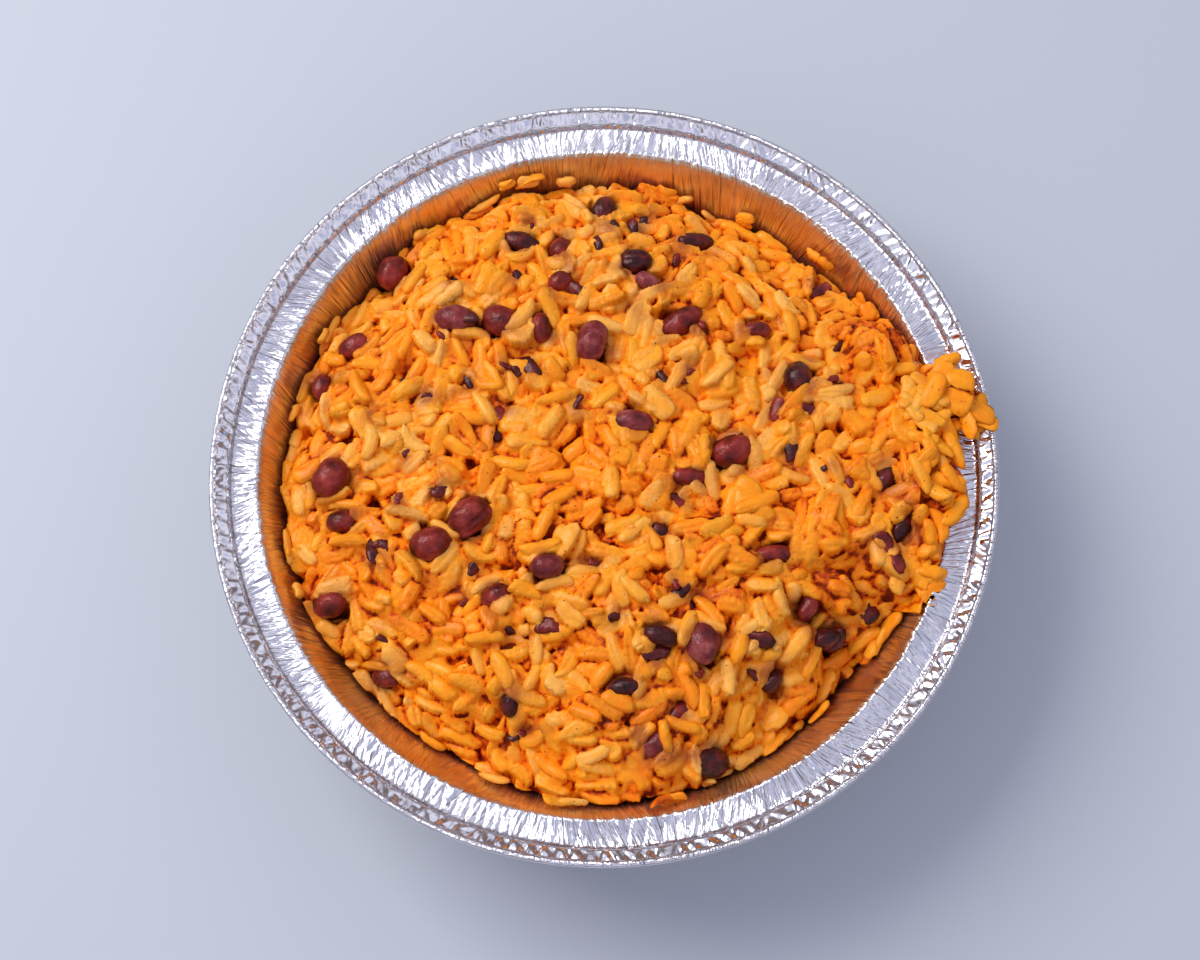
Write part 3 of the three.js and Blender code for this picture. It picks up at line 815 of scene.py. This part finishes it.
def grain_shapes(places, sizes, seed, ragged=1.0):
    """Rings along the grain and angles round it. A ring is a rounded box, |v|^p + |w|^p = 1, and
    its size follows a rod with blunt or pointed ends, grooved, waved and roughened; the rod is cut
    askew, bent in its flat plane, rolled about its length, sloped, turned and placed. Also returns each
    point in its grain's own coordinates."""
    dice = np.random.default_rng(seed)
    n = len(places)

    def each(low, high):
        """One number a grain between two limits."""
        return dice.uniform(low, high, (n, 1, 1))

    along = np.concatenate([[-1], -np.cos(np.linspace(0.30, math.pi - 0.30, GRAIN_RINGS)), [1]])[None, :, None]
    turn = np.linspace(0, TURN, GRAIN_SIDES, endpoint=False)[None, None, :] + each(0, TURN)
    boxy = each(2.1, 3.6)
    box = (np.abs(np.cos(turn)) ** boxy + np.abs(np.sin(turn)) ** boxy) ** (-1 / boxy)
    sharp = np.where(along < 0, each(1.8, 6.5), each(1.8, 6.5))
    radius = np.clip(1 - np.abs(along) ** sharp, 0, 1) ** (1 / 2.2) * (1 + each(-0.20, 0.20) * along)
    groove = 1 - each(0, 0.22) * np.exp(-(((turn - each(0, TURN) + math.pi) % TURN - math.pi) / 0.5) ** 2)
    waves = 1 + each(0.03, 0.13) * np.sin(each(2.2, 5.0) * along + each(0, TURN)) * np.cos(turn + each(0, TURN))
    waves = waves + 0.07 * np.sin(each(6, 11) * along + 2 * turn + each(0, TURN))
    rough = dice.normal(0, 0.045 * ragged, (n, GRAIN_RINGS + 2, GRAIN_SIDES))
    radius = radius * box * groove * (waves + rough)
    half = sizes[:, None, None, :] / 2
    v = half[..., 1] * radius * np.cos(turn)
    w = half[..., 2] * radius * np.sin(turn)
    u = half[..., 0] * along + np.where(along < 0, each(-0.6, 0.6), each(-0.6, 0.6)) * v * along**2
    own = np.stack([0.3 * u, v, w], axis=-1) + dice.uniform(-50, 50, (n, 1, 1, 3))
    v = v + dice.normal(0, 0.13, (n, 1, 1)) * half[..., 0] * (along**2 - 0.4)
    w = w + dice.normal(0, 0.07, (n, 1, 1)) * half[..., 0] * (along**2 - 0.4)
    roll = dice.normal(0, 0.35, (n, 1, 1))
    v, w = v * np.cos(roll) - w * np.sin(roll), v * np.sin(roll) + w * np.cos(roll)
    yaw, slope = places[:, 3][:, None, None], places[:, 4][:, None, None]
    forward = u * np.cos(slope) - w * np.sin(slope)
    z = u * np.sin(slope) + w * np.cos(slope) + places[:, 2][:, None, None]
    x = forward * np.cos(yaw) - v * np.sin(yaw) + places[:, 0][:, None, None]
    y = forward * np.sin(yaw) + v * np.cos(yaw) + places[:, 1][:, None, None]

    def with_tips(grid):
        """Rings between the ends as points, then one point for each end."""
        return np.concatenate([grid[:, 1:-1].reshape(n, -1, 3), grid[:, [0, -1]].mean(axis=2)], axis=1)

    return with_tips(np.stack([x, y, z], axis=-1)), with_tips(own)


# %% Tone of each grain
def grain_tones(places, seed):
    """Tone of each grain, from 0 pale to 1 brown: its clump's, patches across the heap and its own."""
    dice = np.random.default_rng(seed)
    patch = 0.10 * wander(places[:, 0], places[:, 1], 30, 51)
    own = dice.normal(0, 0.11, len(places)) + sample(clump_tone, places[:, 0], places[:, 1])
    pale = dice.random(len(places)) < 0.15
    by_bean = np.exp(-np.clip(sample(near_bean, places[:, 0], places[:, 1]), 0, FAR) / 2.5)
    return np.clip(0.34 + patch + own - 0.2 * pale - 0.2 * by_bean, 0, 1)


# %% [markdown]
# ## The stuck rice
# Most of the rice is stuck together, so its grains are relief on one surface. Each laid grain's back is
# drawn into a fine height map with soft seams, over a paste of broken rice that fills the gaps, save for
# small pits; the colour in the pits and seams is darkened as painted shade. Modelling every grain whole
# would look like loose beads and weigh far more. The map is then lifted off as a grid that fills the pan,
# in two halves to keep each light.

# %% Fine height map
FINE = 0.3
PASTE_DEPTH = 0.7
PIT_DEPTH = 2.2
SEAM = 0.22
LOOSE_ABOVE = 0.2
# Painted shade: the tone added to the rice colour in the deepest cavities.
CAVITY_SHADE_TONE = 0.36
fine_ticks = np.arange(-HALF, HALF, FINE)
fine_x, fine_y = np.meshgrid(fine_ticks, fine_ticks)


wall_gap = np.clip((wall_radius(np.clip(rice_tops, 5, RIM_Z)) - grid_r) / 4, 0, 1)
backs = blur(rice_tops, 2.0)
pits = np.clip(3.0 * (wander(grid_x, grid_y, 4.2, 33) - 0.36) + 0.5 * wander(grid_x, grid_y, 16, 35), 0, 1)
mush = np.clip(0.5 + 0.9 * wander(grid_x, grid_y, 15, 38), 0, 1)
paste = backs - PASTE_DEPTH * (1.5 - mush) - PIT_DEPTH * pits - 1.2 * (1 - wall_gap)
crumble = 0.20 * wander(fine_x, fine_y, 2.4, 31) + 0.05 * wander(fine_x, fine_y, 1.3, 32)
frayed = 0.5 * wander(fine_x, fine_y, 2.2, 36) + 0.5 * wander(fine_x, fine_y, 1.2, 37)


def draw_grain(surface, owner, number, place, size, dice):
    """Draw one grain's back in the fine map. Its outline is |a|^p + |b|^2.2 + noise = 1 in its own bent
    and tapered coordinates, its back is a low crown with flat top, and where it meets its neighbour the
    two run together over a soft seam."""
    x, y, z, yaw, slope = place
    long, wide, thick = size
    reach = 0.5 * math.hypot(long, wide) + 0.8
    rows = slice(int((y - reach + HALF) / FINE), int((y + reach + HALF) / FINE) + 1)
    cols = slice(int((x - reach + HALF) / FINE), int((x + reach + HALF) / FINE) + 1)
    dx, dy = fine_x[rows, cols] - x, fine_y[rows, cols] - y
    s, t = dx * math.cos(yaw) + dy * math.sin(yaw), dy * math.cos(yaw) - dx * math.sin(yaw)
    a = 2 * s / long
    b = (2 * t / wide - dice.normal(0, 0.22) * (a**2 - 0.4)) / (1 + dice.uniform(-0.25, 0.25) * a)
    q = np.abs(a) ** dice.uniform(1.9, 3.8) + np.abs(b) ** 2.2 + dice.uniform(-0.3, 0.3) * frayed[rows, cols]
    crown = np.clip(1 - q, 0, 1) ** 0.40
    groove = dice.uniform(0, 0.16) * np.exp(-(((b - dice.uniform(-0.5, 0.5)) / 0.22) ** 2))
    back = z + math.tan(slope) * s + thick * crown * (0.5 - groove) + dice.uniform(-0.25, 0.25) * b * thick
    back = np.where(q < 1, back, -FAR)
    old = surface[rows, cols]
    owner[rows, cols] = np.where(back > old, number, owner[rows, cols])
    near = np.clip(1 - np.abs(back - old) / SEAM, 0, 1)
    surface[rows, cols] = np.maximum(back, old) + 0.25 * SEAM * near**2


# %% [markdown]
# Three small sets are added to the grains that were laid: bits that cling to the wall, grains
# that bridge the rim where the heap spills over, and the flat flakes at the tip of the spill. Each flake
# is given as its place, its turn in degrees, its length and its width.

# %% Grains added to those laid
WALL_BITS = 50
BITS_REACH = 2.6  # how far round from the side away from the spill the bits go, in radians
BRIDGE_GRAINS = 26
SPILLED_FLAKES = [(73.9, 17.3, 95, 7.6, 3.6), (78.9, 16.2, 70, 6.4, 5.2), (82.6, 14.2, -20, 7.0, 4.6),
                  (86.2, 8.2, -38, 10.0, 5.4), (81.0, 9.6, -30, 8.0, 5.0), (84.0, 3.8, -75, 6.2, 3.6),
                  (88.0, 5.0, -25, 6.4, 4.2), (76.5, 12.0, 60, 8.4, 4.4)]
FLAKE_SPREAD, FLAKE_THICK, FLAKE_TONE, FLAKE_SLOPE = 1.08, 1.0, 0.40, 0.06
SPILL_TONE, SPILL_EVEN = 0.36, 0.6


def wall_bits():
    """Bits of rice that cling to the wall just above the heap: their angles are random and each lies
    against the wall, its length roughly level."""
    dice = np.random.default_rng(44)
    around = dice.uniform(0, TURN, WALL_BITS)
    x, y = (RIM_RADIUS - 9) * np.cos(around), (RIM_RADIUS - 9) * np.sin(around)
    z = np.clip(sample(blur(rice_tops, 2.0), x, y) + dice.uniform(-2.5, 0.9, WALL_BITS), 8, RIM_Z - 3)
    r = wall_radius(z) - 1.5
    size = dice.uniform(3.5, 9.0, WALL_BITS), dice.uniform(1.3, 2.0, WALL_BITS), dice.uniform(2.2, 3.6, WALL_BITS)
    size = np.column_stack(size)
    yaw = around + TURN / 4 + dice.normal(0, 0.08, WALL_BITS)
    place = np.column_stack([r * np.cos(around), r * np.sin(around), z, yaw, dice.normal(0, 0.45, WALL_BITS)])
    clear = np.abs(around - TURN / 2) <= BITS_REACH
    return place[clear], size[clear]


def bridge_grains():
    """Grains across the rim where the heap spills over, half sunk in the rice already there."""
    dice = np.random.default_rng(45)
    around = dice.uniform(math.radians(-27), math.radians(17), BRIDGE_GRAINS)
    r = dice.uniform(RIM_RADIUS - 8, RIM_RADIUS + 0.5, BRIDGE_GRAINS)
    x, y = r * np.cos(around), r * np.sin(around)
    z = sample(blur(rice_tops, 2.0), x, y) - 0.3
    size = np.column_stack([dice.uniform(6.5, 9.5, BRIDGE_GRAINS), dice.uniform(2.8, 3.8, BRIDGE_GRAINS),
                            dice.uniform(1.4, 2.1, BRIDGE_GRAINS)])
    place = np.column_stack([x, y, z, dice.uniform(0, TURN, BRIDGE_GRAINS), dice.normal(0, 0.15, BRIDGE_GRAINS)])
    free = sample(near_bean, x, y) > 1.5
    return place[free], size[free]


bit_places, bit_sizes = wall_bits()
bridge_places, bridge_sizes = bridge_grains()
flakes = np.array(SPILLED_FLAKES)
flake_z = sample(rice_tops, flakes[:, 0], flakes[:, 1]) + 0.2
flake_slope, flake_thick = np.full(len(flakes), FLAKE_SLOPE), np.full(len(flakes), FLAKE_THICK)
flake_places = np.column_stack([flakes[:, :2], flake_z, np.radians(flakes[:, 2]), flake_slope])
flake_sizes = np.column_stack([flakes[:, 3:] * FLAKE_SPREAD, flake_thick])
places = np.concatenate([places, bit_places, bridge_places, flake_places])
sizes = np.concatenate([sizes, bit_sizes, bridge_sizes, flake_sizes])
added = np.arange(len(places)) >= len(places) - len(bit_places) - len(bridge_places) - len(flake_places)
tones = grain_tones(places, 52)
tones[-len(flakes):] = FLAKE_TONE
over_rim = (places[:, 0] > 66) & (np.abs(places[:, 1]) < 36)
tones[over_rim] = SPILL_TONE + SPILL_EVEN * (tones[over_rim] - tones[over_rim].mean())
print(f"{added.sum()} grains added by hand")

# %% Draw the grains in the fine map
dice = np.random.default_rng(53)
high = places[:, 2] + 0.5 * sizes[:, 2] - read(backs, places[:, 0], places[:, 1])
loose = (high + dice.normal(0, 0.4, len(places)) > LOOSE_ABOVE) | added
surface = read(paste, fine_x, fine_y) + crumble
owner = np.full(surface.shape, -1)
for number in np.flatnonzero(~added):
    draw_grain(surface, owner, number, places[number], sizes[number] * (1, 1, 0.7 if loose[number] else 1), dice)
# Painted shade: how far the fine map lies below its blurred self, which darkens the rice colour there.
cavity_shade = np.clip((blur(surface, 2.5) - surface - 0.08) / 0.40, 0, 1)
print(f"{len(places)} grains drawn, {loose.sum()} of them also loose")

# %% Helpers for the stuck rice
CORE_CELLS = 430
PASTE_TONE = 0.36
# Painted shade: the sides and underside of the stuck rice, which run down inside the wall, get a dark red tone.
PAST_EDGE_SHADE_TONE = 0.9


def tone_and_shade_at(x, y, paste_tone):
    """Tone of the grain drawn at each point, or of the paste where there is none, with painted shade in cavities.
    """
    nearest = owner[np.rint((y + HALF) / FINE).astype(int), np.rint((x + HALF) / FINE).astype(int)]
    tone = np.where(nearest >= 0, tones[np.clip(nearest, 0, None)], paste_tone)
    return tone + CAVITY_SHADE_TONE * read(cavity_shade, x, y, FINE)


def stain_at(x, y, reach):
    """How far bean colour has stained the rice: full beside a bean and gone a few mm away, in patches."""
    patches = 0.5 + 0.7 * wander(x, y, 8, 71)
    return np.clip(np.exp(-np.clip(read(near_bean, x, y), 0, FAR) / reach) * patches, 0, 0.8)


def rise_at(points):
    """How high a point stands: 0 about a grain's thickness under the backs of the grains, 1 just over them."""
    return np.clip((points[:, 2] - read(backs, points[:, 0], points[:, 1]) + 1.9) / 2.2, 0, 1)


def disc_grid(cells):
    """A square grid bent onto a round disc with cells of even area: each square ring becomes a circle.
    Returns the share of the radius and the angle of every point."""
    line = np.linspace(-1, 1, cells + 1)
    u, v = np.meshgrid(line, line)
    wide = np.abs(u) > np.abs(v)
    safe_u, safe_v = np.where(u == 0, 1, u), np.where(v == 0, 1, v)
    angle = np.where(wide, TURN / 8 * v / safe_u, TURN / 4 - TURN / 8 * u / safe_v)
    share = np.where(wide, u, v)
    return np.abs(share), np.where(share < 0, angle + TURN / 2, angle) % TURN


def edge_radius(angles):
    """Where the rice meets the wall at each angle: the wall's radius at the rice's own height there."""
    around = np.linspace(0, TURN, 720, endpoint=False)
    edge = np.full(720, 72.0)
    for _ in range(8):
        low = read(paste, (edge - 2.0) * np.cos(around), (edge - 2.0) * np.sin(around))
        edge = wall_radius(np.clip(low, 6, RIM_Z - 1.2)) - 0.3
        edge = np.convolve(np.concatenate([edge[-4:], edge, edge[:4]]), np.ones(9) / 9, "valid")
    return np.interp(angles, around, edge, period=TURN)


def closed_ring(rows, cols):
    """Indices of the border points of a grid, once round."""
    far_side, far_row = np.arange(1, rows) * cols + cols - 1, (rows - 1) * cols + np.arange(cols - 2, -1, -1)
    return np.concatenate([np.arange(cols), far_side, far_row, np.arange(rows - 2, 0, -1) * cols])


# %% The top of the stuck rice
share, angle = disc_grid(CORE_CELLS)
reach = edge_radius(angle)
core_x, core_y = share * reach * np.cos(angle), share * reach * np.sin(angle)
core_r = np.hypot(core_x, core_y)
core_z = read(surface, core_x, core_y, FINE)
under_rim = RIM_Z - 1.2 + 4.0 * np.clip((reach - core_r) / 4, 0, 1) ** 0.7
core_z = np.where(reach - core_r < 6, np.minimum(core_z, under_rim), core_z)
inward = np.minimum(1, (wall_radius(np.clip(core_z, 3, RIM_Z - 1)) - 0.7) / np.maximum(core_r, 1))
core_x, core_y = core_x * inward, core_y * inward
paste_tone = PASTE_TONE + 0.10 * wander(core_x, core_y, 5, 34) + read(clump_tone, core_x, core_y)
core_tone = tone_and_shade_at(core_x, core_y, paste_tone)
print(f"rice runs from {core_z.min():.1f} to {core_z.max():.1f} mm high")

# %% [markdown]
# Each half gets a side that runs down inside the wall to the base, and a flat underside, so that it is a
# closed solid. The halves lap over each other by a few cells, and each dips a little under the other
# there, so that no line shows between them.

# %% Make the two halves
FLOOR_OF_RICE = 1.2
OVERLAP = 4
OVERLAP_DROP = 0.08
middle_column = CORE_CELLS // 2
column = np.arange(CORE_CELLS + 1)
for side, name in enumerate(("rice_stuck_left", "rice_stuck_right")):
    cut = (slice(0, middle_column + OVERLAP + 1), slice(middle_column - OVERLAP, CORE_CELLS + 1))[side]
    past_middle = np.clip((column - middle_column) * (1, -1)[side], 0, OVERLAP)
    lowered = core_z - OVERLAP_DROP * past_middle
    top = np.stack([core_x[:, cut], core_y[:, cut], lowered[:, cut]], axis=-1)
    rows, cols = top.shape[:2]
    ring = closed_ring(rows, cols)
    flat = top.reshape(-1, 3)
    shrink = np.minimum(1, (BASE_RADIUS - 0.4) / np.maximum(np.hypot(flat[ring, 0], flat[ring, 1]), 1))
    foot = np.column_stack([flat[ring, 0] * shrink, flat[ring, 1] * shrink, np.full(len(ring), FLOOR_OF_RICE)])
    points = np.concatenate([flat, foot, [foot.mean(axis=0)]])
    after, low = np.roll(ring, -1), len(flat) + np.arange(len(ring))
    skirt = np.stack([ring, low, np.roll(low, -1), after], axis=1)
    base = fan_faces(len(flat), len(ring), len(points) - 1, flip=True)
    tone = np.concatenate([core_tone[:, cut].ravel(), np.full(len(points) - len(flat), PAST_EDGE_SHADE_TONE)])
    piece = make_piece(name, points, [grid_faces(rows, cols, wrap=False), skirt, base], rice, {
        "tone": np.clip(tone, 0, 1), "rise": rise_at(points),
        "stain": stain_at(points[:, 0], points[:, 1], 3.0), "grain_place": points,
        "deep": np.ones(len(points))}, smooth_sets=1)
    if side == 0:
        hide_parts("rice_heap")
    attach(piece, "root")

# %% [markdown]
# ## Rice over the rim
# On one side the heap has run over the rim and lies on the shelf. It could be left to loose grains alone,
# but they would look like beads. This patch is lifted off the same map: it starts inside the heap, crosses
# the rim and comes down to the foil where the rice ends.

# %% Make the rice over the rim
SPILL_FROM, SPILL_TO = math.radians(-29), math.radians(19)
SPILL_ROWS, SPILL_COLUMNS = 60, 270
EDGE_STEP = 0.25
SPILL_PASTE_TONE = 0.42


def spill_edge(around):
    """How far out the rice lies at each angle: the last place where it stands over the foil."""
    tries = np.arange(RIM_RADIUS, OUTER_RADIUS - 1, EDGE_STEP)[:, None]
    over_foil = covered & (rice_tops > pan_top(grid_r) + 0.8)
    found = sample(over_foil, tries * np.cos(around), tries * np.sin(around))
    edge = WALL_TOP[0] + EDGE_STEP * found.sum(axis=0)
    padded = np.concatenate([edge[:1].repeat(6), edge, edge[-1:].repeat(6)])
    frayed_edge = 0.5 * wander(around * RIM_RADIUS, 0 * around, 4.5, 81)
    return np.convolve(padded, np.ones(13) / 13, "valid") + frayed_edge


def spill_surface():
    """Rings of points, one at each angle: out along the top of the rice and back along its underside.
    The top is the fine map, rounded down to the foil at the edge; the underside lies on the foil and
    slopes down into the heap inside the rim."""
    around = np.linspace(SPILL_FROM, SPILL_TO, SPILL_COLUMNS)[:, None]
    start = RIM_RADIUS - 8
    r = start + (spill_edge(around[:, 0])[:, None] - start) * np.linspace(0, 1, SPILL_ROWS)
    x, y = r * np.cos(around), r * np.sin(around)
    foil_top = np.maximum(pan_top(r), RIM_Z) + 0.75
    under = np.where(r > RIM_RADIUS - 1.2, foil_top - 0.5, RIM_Z + 0.2 - 2.0 * (RIM_RADIUS - 1.2 - r))
    from_edge = np.clip((r[:, -1:] - r) / 2.6, 0, 1)
    top = np.minimum(read(surface, x, y, FINE), foil_top + 4.5 * from_edge**0.6)
    top = top - 1.1 * np.clip((RIM_RADIUS - 3.0 - r) / 2.0, 0, 1)
    top = np.maximum(top, under + 0.25)
    out, back = np.stack([x, y, top], axis=-1), np.stack([x, y, under], axis=-1)[:, ::-1]
    return np.concatenate([out, back], axis=1)


rings = spill_surface()
ring_size = rings.shape[1]
spill_points = np.concatenate([rings.reshape(-1, 3), rings[[0, -1]].mean(axis=1)])
spill_tone = tone_and_shade_at(spill_points[:, 0], spill_points[:, 1], SPILL_PASTE_TONE)
piece = make_piece("rice_over_rim", spill_points, tube_faces(SPILL_COLUMNS, ring_size), rice, {
    "tone": np.clip(spill_tone, 0, 1), "rise": rise_at(spill_points),
    "stain": stain_at(spill_points[:, 0], spill_points[:, 1], 2.4), "grain_place": spill_points})
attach(piece, "root")

# %% [markdown]
# ## Loose grains
# The grains that stand highest are whole shapes of their own. Where one would cross the foil it is
# pressed flat against it, as moist rice is.

# %% Press against the foil
def inside_foil(points):
    """Points held off the foil: below the rim their radius stays under the wall's at their own height,
    and over the shelf their height stays above it."""
    x, y, z = points.T
    r = np.maximum(np.hypot(x, y), 1)
    below = z < RIM_Z - 1.5
    inward = np.where(below, np.minimum(1, (wall_radius(np.clip(z, 3, RIM_Z)) - 0.45) / r), 1)
    shelf = np.where(~below & (r > RIM_RADIUS - 1), np.maximum(pan_top(r), RIM_Z) + 0.25, -FAR)
    return np.stack([x * inward, y * inward, np.maximum(z, shelf)], axis=1)


# %% Make the loose grains
LOOSE_DEEP = 0.6
squashed = sizes[:, 1] > 1.25 * GRAIN_WIDE
broken = (sizes[:, 0] < 0.8 * GRAIN_LONG) & ~squashed
for name, some in (("rice_grains_whole", ~broken & ~squashed), ("rice_grains_broken", broken),
                   ("rice_grains_squashed", squashed)):
    some = some & loose
    shapes, own = grain_shapes(places[some], sizes[some], len(name), ragged=1.6)
    points = inside_foil(shapes.reshape(-1, 3))
    piece = make_piece(name, points, many_tubes(len(shapes), GRAIN_RINGS, GRAIN_SIDES), rice, {
        "tone": np.repeat(tones[some], shapes.shape[1]), "rise": rise_at(points),
        "stain": 0.6 * stain_at(points[:, 0], points[:, 1], 1.8), "grain_place": own.reshape(-1, 3),
        "deep": np.where(np.hypot(points[:, 0], points[:, 1]) < RIM_RADIUS - 4, LOOSE_DEEP, 0.0)})
    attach(piece, "root")

# %% Make the scraps
shapes, _ = grain_shapes(scrap_places, scrap_sizes, 62, ragged=2.4)
for kind in ("maroon", "dark"):
    some = (np.arange(len(shapes)) % 5 < 2) == (kind == "maroon")
    points = shapes[some].reshape(-1, 3)
    faces = many_tubes(some.sum(), GRAIN_RINGS, GRAIN_SIDES)
    piece = make_piece(f"bean_scraps_{kind}", points, faces, skins[kind])
    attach(piece, "root")

# %% [markdown]
# ## The room
# The pan stands on a plain pale floor under soft light. Foil shows the room, so the room matters: a cool
# ceiling, a brighter ring of soft light round it that each fold of the foil can catch, and walls that
# darken downwards, which give the creases their dark lines. A soft lamp from the far left gives the
# gentle shadow.

# %% Floor
FLOOR_SIZE = 3000
FLOOR_Z = -0.05
floor_material = new_material("floor_pale", Base_Color=(0.50, 0.54, 0.60, 1), Roughness=0.6)[0]
floor_corners = np.array([[-1, -1, 0], [1, -1, 0], [1, 1, 0], [-1, 1, 0]]) * FLOOR_SIZE / 2 + [0, 0, FLOOR_Z]
floor = make_piece("floor", floor_corners, [np.array([[0, 1, 2, 3]])], floor_material)

# %% Lights
TARGET = Vector((-0.0010, -0.0018, 0.041))


def soft_light(name, place, size, power, colour=(1, 1, 1)):
    """A square area light at a place in metres, aimed at the pan."""
    lamp = bpy.data.lights.new(name, "AREA")
    lamp.shape = "RECTANGLE"
    lamp.size, lamp.size_y = size
    lamp.energy = power
    lamp.color = colour
    holder = bpy.data.objects.new(name, lamp)
    holder.location = place
    holder.rotation_euler = (TARGET - Vector(place)).to_track_quat("-Z", "Y").to_euler()
    bpy.context.scene.collection.objects.link(holder)


soft_light("lamp_key", (-0.66, 0.45, 0.92), (0.70, 0.70), 10.5, (1.0, 0.97, 0.92))

# %% Room
world = bpy.data.worlds.new("room")
bpy.context.scene.world = world
world.use_nodes = True
room = world.node_tree
sky = room.nodes["Background"]
sight = room.nodes.new("ShaderNodeTexCoord")
split = room.nodes.new("ShaderNodeSeparateXYZ")
room.links.new(sight.outputs["Generated"], split.inputs["Vector"])
ROOM_SHADES = [(0.0, (0.16, 0.11, 0.09)), (0.30, (0.24, 0.20, 0.22)), (0.48, (0.60, 0.57, 0.66)),
               (0.68, (0.94, 0.94, 1.08)), (0.84, (0.64, 0.65, 0.82)), (1.0, (0.50, 0.52, 0.70))]
ROOM_STRENGTH = 0.95
walls = add_ramp(room, split.outputs["Z"], ROOM_SHADES)
room.links.new(walls, sky.inputs["Color"])
sky.inputs["Strength"].default_value = ROOM_STRENGTH

# %% [markdown]
# ## The camera
# The view looks down steeply from the near side, turned a little to the left.

# %% Camera
CAMERA_TILT = math.radians(15.5)
CAMERA_TURN = math.radians(-4.0)
CAMERA_DISTANCE = 0.50
SENSOR_WIDTH, FOCAL_LENGTH = 36, 65.2
back = Vector((math.sin(CAMERA_TURN) * math.sin(CAMERA_TILT), -math.cos(CAMERA_TURN) * math.sin(CAMERA_TILT),
               math.cos(CAMERA_TILT)))
lens = bpy.data.cameras.new("camera")
lens.sensor_width = SENSOR_WIDTH
lens.lens = FOCAL_LENGTH
camera = bpy.data.objects.new("camera", lens)
camera.location = TARGET + CAMERA_DISTANCE * back
camera.rotation_euler = (-back).to_track_quat("-Z", "Y").to_euler()
bpy.context.scene.collection.objects.link(camera)
bpy.context.scene.camera = camera
bpy.context.scene.view_settings.view_transform = "Standard"
